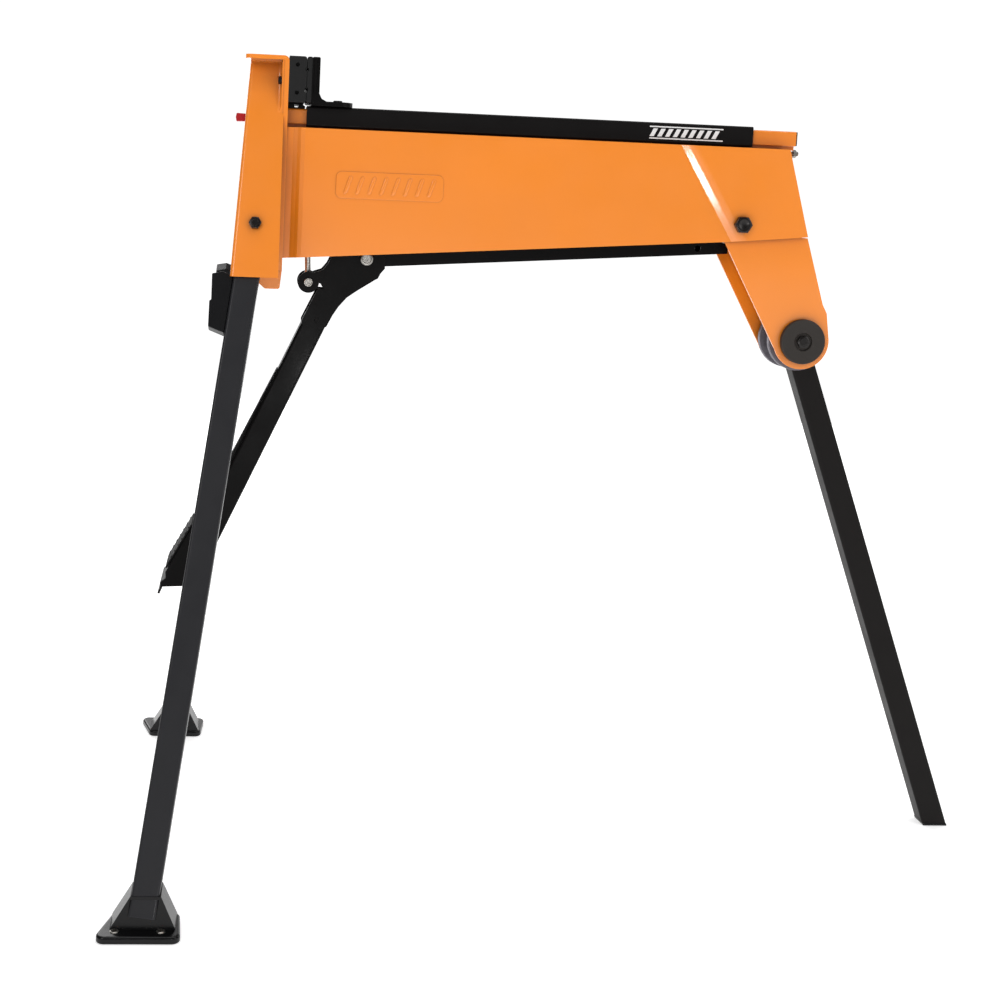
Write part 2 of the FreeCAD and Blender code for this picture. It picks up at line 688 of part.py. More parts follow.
def jaw_carriage():
    """C-shaped bar, the moving jaw on its front and its pad."""
    bar = prism("YZ", "bar_front", "bar_rear", rectangle("-bar_half", "bar_low", "bar_half", "bar_top"))
    rounded(bar, 3, along("x"))
    inner = "(bar_half - bar_wall)"
    pocket(bar, "YZ", "bar_front - 1", "bar_rear + 1", rectangle(
        f"-{inner}", "bar_low + bar_wall", inner, "bar_top - bar_wall"))
    mouth = "(neck_half + 2)"
    pocket(bar, "YZ", "bar_front - 1", "bar_rear + 1", rectangle(
        f"-{mouth}", "bar_low - 1", mouth, "bar_low + bar_wall + 1"))
    keep(bar, "sliding_bar")

    pad_front = "plate_back + pad_thick + jaw_gap"
    wall_front = f"{pad_front} + moving_pad"
    wall_back = f"{wall_front} + moving_wall"
    pad_piece = prism("YZ", pad_front, wall_front, rectangle("-jaw_half", "pad_low", "jaw_half", "jaw_top"))
    rounded(pad_piece, 2, along("y", lambda m: m.x < size(pad_front) + 1))
    for low in ("jaw_top - 17", "pad_low + 13"):
        pocket(pad_piece, "XZ", "-jaw_half - 1", "jaw_half + 1", rectangle(
            f"{pad_front} - 1", f"{low}", f"{pad_front} + 1.6", f"{low} + 4"))
    keep(pad_piece, "moving_jaw_pad")

    jaw = prism("XZ", "-jaw_half", "jaw_half", [
        (wall_front, "bar_top"), ("lobe_back", "bar_top"), ("lobe_back", "lobe_top"),
        (f"{wall_back} + 9", "lobe_top"), (f"{wall_back} + 3", "lobe_top + 3"),
        (wall_back, "lobe_top + 9"), (wall_back, "jaw_top"), (wall_front, "jaw_top")])
    rounded(jaw, 17, along("z", lambda m: m.x > size("lobe_back") - 5))
    rounded(jaw, 2, along("y", lambda m: m.z > size("jaw_top") - 1))
    for side in ("-", ""):
        for depth in ("1.6", "5.6"):
            pocket(jaw, "XY", "lobe_top + 9", "jaw_top + 1", rectangle(
                f"{wall_front} + {depth}", f"{side}(jaw_half - 1.2)", f"{wall_front} + {depth} + 1.4",
                f"{side}(jaw_half + 1)"))
    keep(jaw, "moving_jaw")
    middle = "(lobe_back + " + wall_back + ") / 2 + 3"
    heads = [cylinder("Z", middle, y, "lobe_top", "5.5", "2.6") for y in ("-13", "13")]
    keep(group(*heads), "moving_jaw_screws")


# ---------------------------------------------------------------- pedal, link and crank

def carrier():
    """Channel under the chassis that carries the pedal's pivot, with its pin and supports."""
    slope = "(shell_low_rear - shell_low_front) / (shell_kink - plate_back)"

    def edge(x, above):
        return f"shell_low_front + ({x} - plate_back) * {slope} - carrier_drop + {above}"

    def strip(front, rear, low, high):
        return [(front, edge(front, low)), (rear, edge(rear, low)), (rear, edge(rear, high)),
                (front, edge(front, high))]

    side = strip("carrier_front", "carrier_rear", "0", "carrier_tall")
    rail = prism("XZ", "-carrier_half", "carrier_half", side)
    pocket(rail, "XZ", "2.5 - carrier_half", "carrier_half - 2.5", strip(
        "carrier_front - 1", "carrier_rear - 3", "2.5", "carrier_tall + 1"))
    bores(rail, "XZ", "-20", "20", [("pedal_pin_x", "pedal_pin_z")], "pedal_pin_radius")
    bores(rail, "XZ", "-20", "20", [("153", edge("153", "8"))], "4")
    rear_pin_z = edge("182", "19")
    bores(rail, "XZ", "-20", "20", [("carrier_rear - 9", rear_pin_z)], "5")
    keep(rail, "carrier_rail")
    rear_pin = cylinder("Y", "carrier_rear - 9", "-drop_half", rear_pin_z, "5", "2 * drop_half")
    keep(rear_pin, "carrier_rear_pin")
    hanger_low = edge("-200", "4")
    hanger_tall = f"chassis_top - sheet - ({hanger_low})"
    keep(block("-212", "-10", hanger_low, "24", "20", hanger_tall), "carrier_hanger")
    shank = cylinder("Y", "pedal_pin_x", "-23.5", "pedal_pin_z", "pedal_pin_radius", "47")
    caps = [cylinder("Y", "pedal_pin_x", y, "pedal_pin_z", "8", "3") for y in ("-23.5", "20.5")]
    keep(fuse(shank, *caps), "pedal_pin")


def pedal():
    """Two cheek plates, the arm between them, the tread and its cover."""
    cheek = prism("XZ", "cheek_half", "cheek_half + cheek_sheet", [
        ("-237", "728"), ("-298", "728"), ("-301.7", "721"), ("-307", "709.5"), ("-313.5", "701.5"),
        ("-322.5", "698.5"), ("-334", "692"), ("-332", "675"), ("-323", "678"), ("-320", "685.5"),
        ("-315.5", "685"), ("-311", "678.2"), ("-318.2", "678.5"), ("-334.5", "643.5"), ("-336.6", "639"),
        ("-336.4", "634.5"), ("-315", "628.8"), ("-306", "632"), ("-299", "646.2"), ("-291.8", "657.6"),
        ("-282.2", "668.8"), ("-270.3", "677.5"), ("-248.5", "691.8"), ("-245.2", "693.5"), ("-242", "700"),
        ("-237", "706")])
    disc(cheek, "XZ", "cheek_half", "cheek_half + cheek_sheet", ("nose_x", "nose_z"), "13")
    bores(cheek, "XZ", "0", "40", [("pedal_pin_x", "pedal_pin_z")], "pedal_pin_radius + running_gap")
    bores(cheek, "XZ", "0", "40", [("nose_x", "nose_z")], "nose_pin_radius")
    bores(cheek, "XZ", "0", "40", [("rivet_x", "rivet_z")], "3")
    keep(group(cheek, mirrored(cheek)), "pedal_cheeks")

    arm = prism("XZ", "-arm_half", "arm_half", [
        ("-331", "648"), ("-456", "370"), ("-430", "358"), ("-302", "642")])
    rounded(arm, 3, lambda e: abs(abs(e.CenterOfMass.y) - size("arm_half")) < 0.1 and e.Length > 100)
    pocket(arm, "XZ", "2 - arm_half", "arm_half - 2", [
        ("-328", "643"), ("-453", "366.5"), ("-432.5", "358.5"), ("-304.6", "638")])
    bores(arm, "XZ", "-20", "20", [("rivet_x", "rivet_z")], "3")
    keep(arm, "pedal_arm")
    outside = "(cheek_half + cheek_sheet)"
    keep(cylinder("Y", "rivet_x", f"-{outside}", "rivet_z", "3", f"2 * {outside}"), "pedal_rivet")
    nose = [cylinder("Y", "nose_x", f"-{outside} - 3", "nose_z", "nose_pin_radius", f"2 * {outside} + 6")]
    for y in (f"-{outside} - 3", outside):
        nose.append(cylinder("Y", "nose_x", y, "nose_z", "nose_pin_radius + 1.6", "3"))
    keep(fuse(*nose), "nose_pin")
    keep(prism("XZ", "-9", "9", [("-363.2", "577"), ("-421.6", "447"), ("-426", "449"), ("-364.4", "577")]),
         "pedal_arm_strip")

    half = "tread_half"
    face = prism("XZ", f"-{half}", half, [
        ("-448", "403"), ("-460", "383"), ("-492", "325"), ("-491.5", "317"), ("-498", "312"),
        ("-498", "306"), ("-501", "298"), ("-498.5", "297"),
        ("-495.5", "304.5"), ("-495", "310"), ("-488.5", "315.5"),
        ("-489", "324"), ("-457.5", "381.5"), ("-445.5", "401.5")])
    floor = prism("XZ", f"3 - {half}", f"{half} - 3", [
        ("-495.2", "306"), ("-437", "309"), ("-437", "312"), ("-495.2", "309")])
    sides = [prism("XZ", y, f"{y} + 3", [
        ("-446", "401.8"), ("-457.6", "381.4"), ("-489.1", "324"), ("-488.6", "316"), ("-495", "310.2"),
        ("-495.4", "306"), ("-437", "309"), ("-432", "360"), ("-438", "388")])
        for y in (f"-{half}", f"{half} - 3")]
    reach = f"{half} - 3 - arm_half"
    braces = [block("-458", y, "372", "26", reach, "5") for y in (f"3 - {half}", "arm_half")]
    keep(fuse(face, floor, *sides, *braces), "pedal_tread")
    cover = prism("XZ", f"2 - {half}", f"{half} - 2", [
        ("-460.5", "383.3"), ("-462.6", "384.4"), ("-492.6", "329.7"), ("-490.4", "328.6")])
    keep(cover, "pedal_tread_cover")


def link():
    """Crank inside the chassis, its grip plate and the rod that the pedal's nose pulls."""
    crank = prism("XZ", "-9", "9", [
        ("crank_x + 12", "crank_z - 8"), ("crank_x + 8", "crank_z + 50"), ("crank_x - 8", "crank_z + 50"),
        ("crank_x - 12", "crank_z + 12"), ("link_top_x - 6", "link_top_z + 8"),
        ("link_top_x - 9", "link_top_z - 4"), ("link_top_x", "link_top_z - 9"), ("crank_x", "crank_z - 13")])
    pocket(crank, "XZ", "-4.6", "4.6", rectangle("link_top_x - 12", "link_top_z - 14", "link_top_x + 12",
                                                "link_top_z + 14"))
    bores(crank, "XZ", "-20", "20", [("crank_x", "crank_z")], "5 + running_gap")
    bores(crank, "XZ", "-20", "20", [("link_top_x", "link_top_z")], "4")
    keep(crank, "drive_crank")
    keep(block("crank_x - 8", "-18", "crank_z + 50", "16", "36", "12"), "grip_plate")
    keep(cylinder("Y", "link_top_x", "-11", "link_top_z", "4", "22"), "link_top_pin")
    inside = "(shell_half - sheet)"
    keep(cylinder("Y", "crank_x", f"-{inside}", "crank_z", "5", f"2 * {inside}"), "crank_pin")

    way = FreeCAD.Vector(size("link_top_x - nose_x"), 0, size("link_top_z - nose_z"))
    rod = doc.addObject("Part::Cylinder", "rod")
    rod.setExpression("Radius", bound("link_radius"))
    rod.setExpression("Height", bound("sqrt((link_top_x - nose_x)^2 + (link_top_z - nose_z)^2)"))
    place(rod, "nose_x", "0", "nose_z", FreeCAD.Rotation(FreeCAD.Vector(0, 0, 1), way))
    spots = (("nose_x", "nose_z"), ("link_top_x", "link_top_z"))
    eyes = [cylinder("Y", x, "-4", z, "9", "8") for x, z in spots]
    holes = [cylinder("Y", "nose_x", "-9", "nose_z", "nose_pin_radius + 1.9", "18"),
             cylinder("Y", "link_top_x", "-9", "link_top_z", "4 + running_gap", "18")]
    keep(cut(fuse(rod, *eyes), *holes), "link_rod")


def coil_spring():
    """Return spring between the crank and the chassis."""
    turns, wire, coil = 22, 1.1, 6.5
    pitch = 4.2
    helix = Part.makeHelix(pitch, pitch * turns, coil)
    ring = Part.Wire(Part.makeCircle(wire, FreeCAD.Vector(coil, 0, 0), FreeCAD.Vector(0, 1, 0)))
    spring = doc.addObject("Part::Feature", "spring")
    spring.Shape = Part.Wire(helix).makePipeShell([ring], True, True)
    place(spring, "crank_x + 40", "-20", "crank_z + 26", AXES["X"])
    keep(spring, "pedal_return_spring")


# ---------------------------------------------------------------- rear leg

def drop_plates():
    """Plates that hang the rear leg under the chassis, with the bolts through them."""
    plate = prism("XZ", "-drop_half - drop_sheet", "-drop_half", [
        ("186", "800"), ("264", "800"), ("276", "765"), ("285.6", "764.5"), ("311", "683"), ("317", "672"),
        ("hub_x + drop_radius - 0.3", "hub_z + 4"), ("hub_x", "hub_z - 10"),
        ("hub_x - drop_radius + 1", "hub_z - 10"), ("181", "756")])
    disc(plate, "XZ", "-drop_half - drop_sheet", "-drop_half", ("hub_x", "hub_z"), "drop_radius")
    bores(plate, "XZ", "-60", "0", [("hub_x", "hub_z"), ("cross_x", "cross_z")], "hub_bolt_radius")
    keep(plate, "drop_plate_right")
    keep(mirrored(plate), "drop_plate_left")
    web = prism("XZ", "-drop_half", "drop_half", [
        ("280", "760"), ("284", "761"), ("308", "683"), ("304", "682")])
    keep(web, "drop_plate_web")
    side = "shell_half + flare"
    keep(bolt("Y", "cross_x", f"-({side})", "cross_z", 1, 11, 7.5, "hub_bolt_radius", f"2 * ({side}) + 9",
              f"2 * ({side})"), "chassis_cross_bolt")


def hub():
    """Bolt of the rear leg's pivot, with its cap."""
    face = "(drop_half + drop_sheet)"
    cap = cut(cylinder("Y", "hub_x", f"-{face} - 7", "hub_z", "28", "7"),
              cylinder("Y", "hub_x", f"-{face} - 8", "hub_z", "11", "4"),
              cylinder("Y", "hub_x", f"-{face} - 8", "hub_z", "hub_bolt_radius", "9"))
    keep(cap, "hub_cap")
    shank_long = f"2 * {face} + 19"
    keep(bolt("Y", "hub_x", f"-{face} - 4", "hub_z", 1, 8.2, 5, "hub_bolt_radius", shank_long), "hub_bolt")
    washer = cut(cylinder("Y", "hub_x", face, "hub_z", "17", "2.5"),
                 cylinder("Y", "hub_x", f"{face} - 1", "hub_z", "hub_bolt_radius", "5"))
    keep(washer, "hub_washer")


def rear_leg():
    """Rectangular tube on a stepped hub drum, with a plug in its end."""
    wide = "rear_width / 2 * sqrt(1 + rear_slope^2)"

    def spot(z, offset):
        return f"hub_x + rear_slope * (hub_z - ({z})) + {offset}", f"{z}"

    def strip(low, high, half):
        left, right = f"-({half})", f"({half})"
        return [spot(low, left), spot(low, right), spot(high, right), spot(high, left)]

    tube = prism("XZ", "-rear_half", "rear_half", strip("4", "hub_z + rear_top", wide))
    rounded(tube, 3, lambda e: abs(abs(e.CenterOfMass.y) - size("rear_half")) < 0.1 and e.Length > 100)
    pocket(tube, "XZ", "leg_wall - rear_half", "rear_half - leg_wall", strip(
        "0", "hub_z - 24", f"{wide} - leg_wall * 1.07"))
    bores(tube, "XZ", "-30", "30", [("hub_x", "hub_z")], "hub_bolt_radius + running_gap")
    keep(tube, "rear_leg_tube")
    plug = prism("XZ", "-rear_half", "rear_half", strip("0", "3.9", wide))
    pad(plug, "XZ", "leg_wall - rear_half + 0.1", "rear_half - leg_wall - 0.1", strip(
        "3.9", "26", f"{wide} - leg_wall * 1.07 - 0.1"))
    keep(plug, "rear_leg_plug")
    bore = "hub_bolt_radius + running_gap"
    drum = cut(fuse(cylinder("Y", "hub_x", "rear_half + 0.1", "hub_z", "drum_radius", "7"),
                    cylinder("Y", "hub_x", "rear_half + 0.1", "hub_z", "drum_radius - 7", "14.2")),
               cylinder("Y", "hub_x", "rear_half - 1", "hub_z", bore, "20"))
    keep(group(drum, mirrored(drum)), "hub_drums")

    face = "drop_half + drop_sheet + 3"
    grip = [cylinder("Y", f"hub_x + 17 * {round(math.cos(a), 5)}", face + " + 3",
                     f"hub_z + 17 * {round(math.sin(a), 5)}", "9.5", "16")
            for a in [math.radians(72 * k + 18) for k in range(5)]]
    core = fuse(cylinder("Y", "hub_x", face, "hub_z", "13", "19"),
                cylinder("Y", "hub_x", f"{face} + 3", "hub_z", "18", "16"), *grip)
    keep(cut(core, cylinder("Y", "hub_x", f"{face} - 1", "hub_z", bore, "14")), "rear_leg_knob")


def lock_switch():
    """Red rocker in the window of the front housing."""
    rocker = prism("XZ", "-switch_half", "switch_half", [
        ("switch_x", "switch_z - 5"), ("switch_x + 24", "switch_z - 4"), ("switch_x + 24", "switch_z + 4"),
        ("switch_x", "switch_z + 5"), ("switch_x - 1", "switch_z")])
    rounded(rocker, 1.2, along("y", lambda m: m.x < size("switch_x") + 0.5))
    bores(rocker, "XZ", "-20", "20", [("switch_x + 19", "switch_z")], "2 + running_gap")
    keep(rocker, "lock_switch")
    pin_long = "2 * switch_half + 12"
    keep(cylinder("Y", "switch_x + 19", "-switch_half - 6", "switch_z", "2", pin_long), "lock_switch_pin")


chassis()
raised_fields()
jaw_plate()
housing()
leg_hinge()
front_leg()
jaw_carriage()
carrier()
pedal()
link()
coil_spring()
drop_plates()
hub()
rear_leg()
lock_switch()
doc.recompute()

for thing in doc.Objects:
    if {"Invalid", "Error"} & set(thing.State):
        raise ValueError(f"{thing.Label} failed: {thing.State}")

os.makedirs("parts", exist_ok=True)
for label, thing in NODES:
    if thing.Shape.isNull() or not thing.Shape.isValid():
        raise ValueError(f"{label} has no valid shape")
    thing.Shape.exportStep(f"parts/{label}.step")
    box = thing.Shape.BoundBox
    print(f"{label:22s} {thing.Shape.Volume / 1000:9.2f} cm3  solids {len(thing.Shape.Solids)}"
          f"  x {box.XMin:7.1f} {box.XMax:7.1f}  y {box.YMin:7.1f} {box.YMax:7.1f}"
          f"  z {box.ZMin:7.1f} {box.ZMax:7.1f}")
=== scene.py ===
import math

import bmesh
import bpy
from mathutils import Matrix, Vector
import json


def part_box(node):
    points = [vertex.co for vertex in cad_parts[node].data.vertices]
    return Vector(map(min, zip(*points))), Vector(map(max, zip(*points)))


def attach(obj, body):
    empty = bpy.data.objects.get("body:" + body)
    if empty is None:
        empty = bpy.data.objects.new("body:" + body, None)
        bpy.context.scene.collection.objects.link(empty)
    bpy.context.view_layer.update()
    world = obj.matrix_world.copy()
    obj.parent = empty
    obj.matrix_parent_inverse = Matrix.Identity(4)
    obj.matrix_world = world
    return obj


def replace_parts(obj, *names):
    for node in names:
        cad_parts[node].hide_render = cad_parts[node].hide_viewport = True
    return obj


# Looks for a foot-operated clamping stand on three legs. Metres; +X runs from the fixed jaw to the rear
# leg, +Y to the left of a user at the front, +Z up. The camera is on the stand's right side.

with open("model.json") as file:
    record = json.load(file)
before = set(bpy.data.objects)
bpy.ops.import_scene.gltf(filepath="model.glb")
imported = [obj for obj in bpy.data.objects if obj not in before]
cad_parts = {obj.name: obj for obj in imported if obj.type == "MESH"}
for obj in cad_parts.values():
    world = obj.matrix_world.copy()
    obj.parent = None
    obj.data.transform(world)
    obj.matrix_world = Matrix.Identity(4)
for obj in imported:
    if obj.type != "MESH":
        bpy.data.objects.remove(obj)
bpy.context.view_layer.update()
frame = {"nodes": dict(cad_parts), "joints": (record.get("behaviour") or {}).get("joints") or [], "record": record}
MM = 0.001


# ---------------------------------------------------------------- materials

def linear(red, green, blue):
    """An sRGB colour of 0 to 255 as the linear colour that the shaders want."""
    def one(level):
        level /= 255
        return level / 12.92 if level <= 0.04045 else ((level + 0.055) / 1.055) ** 2.4
    return (one(red), one(green), one(blue), 1.0)


def scaled(colour, factor):
    """The colour made lighter or darker."""
    return tuple(min(1.0, c * factor) for c in colour[:3]) + (1.0,)


class Tree:
    """A material's nodes, with short calls to add and link them."""

    def __init__(self, name):
        self.material = bpy.data.materials.new(name)
        self.material.use_nodes = True
        self.nodes = self.material.node_tree.nodes
        self.links = self.material.node_tree.links
        self.shader = self.nodes["Principled BSDF"]
        self.place = self.add("ShaderNodeTexCoord").outputs["Object"]

    def add(self, kind, settings=None, **inputs):
        """A node with its settings, and with values or links on its inputs."""
        node = self.nodes.new(kind)
        for key, value in (settings or {}).items():
            setattr(node, key, value)
        for key, value in inputs.items():
            self.put(node, key.replace("_", " "), value)
        return node

    def put(self, node, key, value):
        """Sets or links one input."""
        if isinstance(value, bpy.types.NodeSocket):
            self.links.new(value, node.inputs[key])
        else:
            node.inputs[key].default_value = value

    def surface(self, **values):
        """Sets or links inputs of the surface shader."""
        for key, value in values.items():
            self.put(self.shader, key.replace("_", " "), value)

    def noise(self, size, detail=3.0, rough=0.55, stretch=None):
        """Noise whose features are about that many metres across."""
        place = self.place
        if stretch is not None:
            place = self.add("ShaderNodeMapping", Vector=self.place, Scale=stretch).outputs["Vector"]
        return self.add("ShaderNodeTexNoise", Vector=place, Scale=1 / size, Detail=detail, Roughness=rough
                        ).outputs["Fac"]

    def span(self, value, low, high, start=0.0, end=1.0):
        """The value moved from one range to another."""
        node = self.add("ShaderNodeMapRange", Value=value)
        for key, number in (("From Min", start), ("From Max", end), ("To Min", low), ("To Max", high)):
            node.inputs[key].default_value = number
        return node.outputs["Result"]

    def mix(self, factor, first, second):
        """A colour between two."""
        node = self.add("ShaderNodeMix", {"data_type": "RGBA"})
        self.put(node, 0, factor)
        self.put(node, 6, first)
        self.put(node, 7, second)
        return node.outputs[2]

    def multiply(self, first, second):
        """The product of two values."""
        node = self.add("ShaderNodeMath", {"operation": "MULTIPLY"})
        self.put(node, 0, first)
        self.put(node, 1, second)
        return node.outputs[0]

    def edges(self, radius, low, high):
        """About 1 along sharp edges and 0 on flat faces."""
        soft = self.add("ShaderNodeBevel", {"samples": 4}, Radius=radius).outputs["Normal"]
        true = self.add("ShaderNodeNewGeometry").outputs["True Normal"]
        dot = self.add("ShaderNodeVectorMath", {"operation": "DOT_PRODUCT"})
        self.links.new(soft, dot.inputs[0])
        self.links.new(true, dot.inputs[1])
        return self.span(dot.outputs["Value"], low, high, 0.995, 0.86)

    def bump(self, height, depth, under=None):
        """A normal bent by a height; depth is in metres."""
        node = self.add("ShaderNodeBump", Height=height, Distance=depth, Strength=1.0)
        if under is not None:
            self.links.new(under, node.inputs["Normal"])
        return node.outputs["Normal"]


def paint(name, colour, rough, coat, edge=1.25, bright=0.05, specular=0.5, crevice_shade=0.0):
    """Sprayed paint: orange peel, faint clouding, painted shade in crevices and lighter rubbed edges."""
    tree = Tree(name)
    cloud = tree.noise(0.11, 2.0)
    base = tree.mix(cloud, scaled(colour, 1 - bright), scaled(colour, 1 + bright))
    if crevice_shade > 0:
        # Painted shade: where little open sky is seen, as in crevices and under parts, the base colour darkens
        # towards a dark orange.
        open_sky = tree.add("ShaderNodeAmbientOcclusion", {"samples": 8}, Distance=0.04).outputs["AO"]
        base = tree.mix(tree.span(open_sky, crevice_shade, 0.0, 0.45, 0.98), base, scaled(colour, 0.45))
    worn = tree.multiply(tree.edges(0.0011, 0.0, 1.0), tree.span(tree.noise(0.009), 0.2, 0.9, 0.3, 0.7))
    base = tree.mix(worn, base, scaled(colour, edge))
    handled = tree.span(tree.noise(0.045, 4.0), rough * 0.85, rough * 1.2, 0.3, 0.7)
    skin = tree.bump(tree.noise(0.0024, 1.0), 1.6e-5)
    tree.surface(Base_Color=base, Roughness=handled, Normal=skin, Coat_Weight=coat, Coat_Roughness=0.09,
                 Specular_IOR_Level=specular, IOR=1.5)
    return tree.material


def moulded(name, colour, rough, grain, specular=0.4, depth=2.4e-5):
    """Moulded plastic with a spark-eroded grain and slightly polished edges."""
    tree = Tree(name)
    cells = tree.add("ShaderNodeTexVoronoi", Vector=tree.place, Scale=1 / grain).outputs["Distance"]
    base = tree.mix(tree.noise(0.06, 3.0), scaled(colour, 0.85), scaled(colour, 1.18))
    base = tree.mix(tree.edges(0.0012, 0.0, 0.5), base, scaled(colour, 1.9))
    fine = tree.noise(grain * 0.4, 2.0)
    skin = tree.bump(fine, depth * 0.6, tree.bump(cells, depth))
    tree.surface(Base_Color=base, Roughness=tree.span(tree.noise(0.03), rough * 0.85, rough * 1.15, 0.3, 0.7),
                 Normal=skin, Specular_IOR_Level=specular, IOR=1.46)
    return tree.material


def rubber(name, colour):
    """Extruded rubber: fine lines along the jaw, dusty patches and a dull sheen."""
    tree = Tree(name)
    lines = tree.noise(0.0011, 1.0, stretch=(1.0, 0.04, 1.0))
    dust = tree.span(tree.noise(0.02, 5.0), 0.0, 0.55, 0.5, 0.75)
    base = tree.mix(dust, colour, scaled(colour, 1.7))
    base = tree.mix(tree.edges(0.0012, 0.0, 0.6), base, scaled(colour, 2.1))
    skin = tree.bump(tree.noise(0.0007, 2.0), 2e-5, tree.bump(lines, 5e-5))
    tree.surface(Base_Color=base, Roughness=tree.span(dust, 0.62, 0.8, 0.0, 0.55), Normal=skin,
                 Specular_IOR_Level=0.14, Sheen_Weight=0.03, Sheen_Roughness=0.5)
    return tree.material


def metal(name, colour, rough, spangle=0.004, contrast=0.14, metallic=1.0, stretch=None, edge=1.5):
    """Plated, oxidised or cast metal with a mottled skin and a painted highlight on its edges."""
    tree = Tree(name)
    patch = tree.add("ShaderNodeTexVoronoi", Vector=tree.place, Scale=1 / spangle).outputs["Color"]
    mottle = tree.mix(0.5, tree.noise(spangle * 2, 4.0, stretch=stretch), patch)
    base = tree.mix(mottle, scaled(colour, 1 - contrast), scaled(colour, 1 + contrast))
    # Painted highlight: the edges are made lighter than the faces.
    base = tree.mix(tree.edges(0.0008, 0.0, 0.6), base, scaled(colour, edge))
    skin = tree.bump(tree.noise(0.0009, 3.0, stretch=stretch), 1.6e-5)
    tree.surface(Base_Color=base, Metallic=metallic, Normal=skin,
                 Roughness=tree.span(tree.noise(0.006, 3.0), rough * 0.8, rough * 1.25, 0.3, 0.7))
    return tree.material


ORANGE = linear(241, 135, 27)
MATERIALS = {
    # The orange paint carries painted shade in its crevices.
    "orange": paint("orange_paint", ORANGE, 0.34, 0.7, crevice_shade=0.75),
    "bar": paint("bar_black_paint", linear(14, 12, 12), 0.42, 0.03, edge=3.0, bright=0.12, specular=0.1),
    "leg": paint("leg_black_paint", linear(34, 34, 37), 0.4, 0.05, edge=2.6, bright=0.1, specular=0.24),
    "rear_leg": paint("rear_leg_paint", linear(18, 15, 14), 0.42, 0.03, edge=3.0, bright=0.1, specular=0.12),
    "bracket": paint("bracket_black_paint", linear(9, 8, 8), 0.38, 0.03, edge=3.0, bright=0.12,
                     specular=0.07),
    "rubber": rubber("jaw_rubber", linear(30, 30, 30)),
    "jaw": moulded("jaw_plastic", linear(9, 8, 8), 0.36, 0.0013, 0.1),
    "foot": moulded("foot_plastic", linear(11, 11, 12), 0.23, 0.0016, 0.28, 1.0e-5),
    "catch": moulded("catch_plastic", linear(15, 15, 17), 0.4, 0.0012, 0.14),
    "cap": moulded("cap_plastic", linear(48, 44, 41), 0.5, 0.0011, 0.25),
    "grip": moulded("tread_rubber", linear(16, 15, 15), 0.6, 0.0012, 0.15),
    "red": moulded("red_plastic", linear(172, 20, 28), 0.32, 0.0014, 0.4, 1.2e-5),
    "cast": metal("cast_grey", linear(112, 109, 116), 0.5, 0.0022, 0.2, 0.6),
    "zinc": metal("zinc_plate", linear(150, 147, 142), 0.3, 0.003, 0.16, edge=1.4),
    "chrome": metal("bright_rod", linear(206, 200, 194), 0.2, 0.004, 0.08, stretch=(1.0, 1.0, 0.08)),
    # The black oxide's edges are lightened strongly as a painted highlight.
    "oxide": metal("black_oxide", linear(24, 21, 20), 0.27, 0.0024, 0.22, 0.5, edge=6.0),
    "print": paint("white_print", linear(226, 226, 226), 0.5, 0.0, edge=1.0, bright=0.02, specular=0.2),
}
LOOKS = {
    "orange": ["chassis_shell", "slide_rail", "rail_end_tab", "side_fields", "front_jaw_plate",
               "front_housing", "front_gusset", "leg_ear_right", "leg_ear_left", "drop_plate_right",
               "drop_plate_left", "drop_plate_web"],
    "bar": ["sliding_bar"],
    "leg": ["front_leg_right", "front_leg_left"],
    "rear_leg": ["rear_leg_tube"],
    "bracket": ["carrier_rail", "carrier_hanger", "pedal_cheeks", "pedal_arm", "pedal_tread", "drive_crank",
                "grip_plate", "pedal_rivet"],
    "rubber": ["fixed_jaw_pad", "moving_jaw_pad"],
    "jaw": ["moving_jaw", "bar_guide", "rail_end_cap"],
    "foot": ["front_foot_right", "front_foot_left", "rear_leg_plug"],
    "catch": ["leg_catch_right", "leg_catch_left", "rear_leg_knob"],
    "cap": ["hub_cap"],
    "grip": ["pedal_arm_strip", "pedal_tread_cover"],
    "red": ["lock_switch"],
    "cast": ["hub_drums"],
    "zinc": ["rail_end_screw", "pedal_pin", "nose_pin", "pedal_return_spring", "hub_washer",
             "carrier_rear_pin", "lock_switch_pin", "crank_pin", "link_top_pin"],
    "chrome": ["link_rod"],
    "oxide": ["jaw_plate_bolts", "fixed_pad_screws", "moving_jaw_screws", "leg_pivot_bolt_right",
              "leg_pivot_bolt_left", "chassis_cross_bolt", "hub_bolt"],
}
# Edge radius in millimetres of each look; the spring keeps its own edges.
SOFTENED = {"orange": 0.5, "bar": 0.4, "leg": 0.4, "rear_leg": 0.5, "bracket": 0.5, "rubber": 0.8, "jaw": 0.8,
            "foot": 1.0, "catch": 0.9, "cap": 1.2, "grip": 0.6, "red": 0.5, "cast": 0.8, "zinc": 0.4,
            "chrome": 0.3, "oxide": 0.5}
UNTOUCHED = {"pedal_return_spring"}


def soften(thing, radius):
    """Gives a CAD node's sharp edges a small radius with modifiers; its own mesh stays as it is."""
    weld = thing.modifiers.new("weld", "WELD")
    weld.merge_threshold = 1e-5
    flat = thing.modifiers.new("flat", "DECIMATE")
    flat.decimate_type = "DISSOLVE"
    flat.angle_limit = math.radians(0.6)
    bevel = thing.modifiers.new("bevel", "BEVEL")
    bevel.width = radius
    bevel.segments = 2
    bevel.limit_method = "ANGLE"
    bevel.angle_limit = math.radians(32)
    bevel.harden_normals = False
    bevel.use_clamp_overlap = True
    normals = thing.modifiers.new("normals", "WEIGHTED_NORMAL")
    normals.keep_sharp = True


for look, names in LOOKS.items():
    for name in names:
        node = frame["nodes"][name]
        node.data.materials.clear()
        node.data.materials.append(MATERIALS[look])
        if name not in UNTOUCHED:
            soften(node, SOFTENED[look] * MM)


# ---------------------------------------------------------------- made pieces

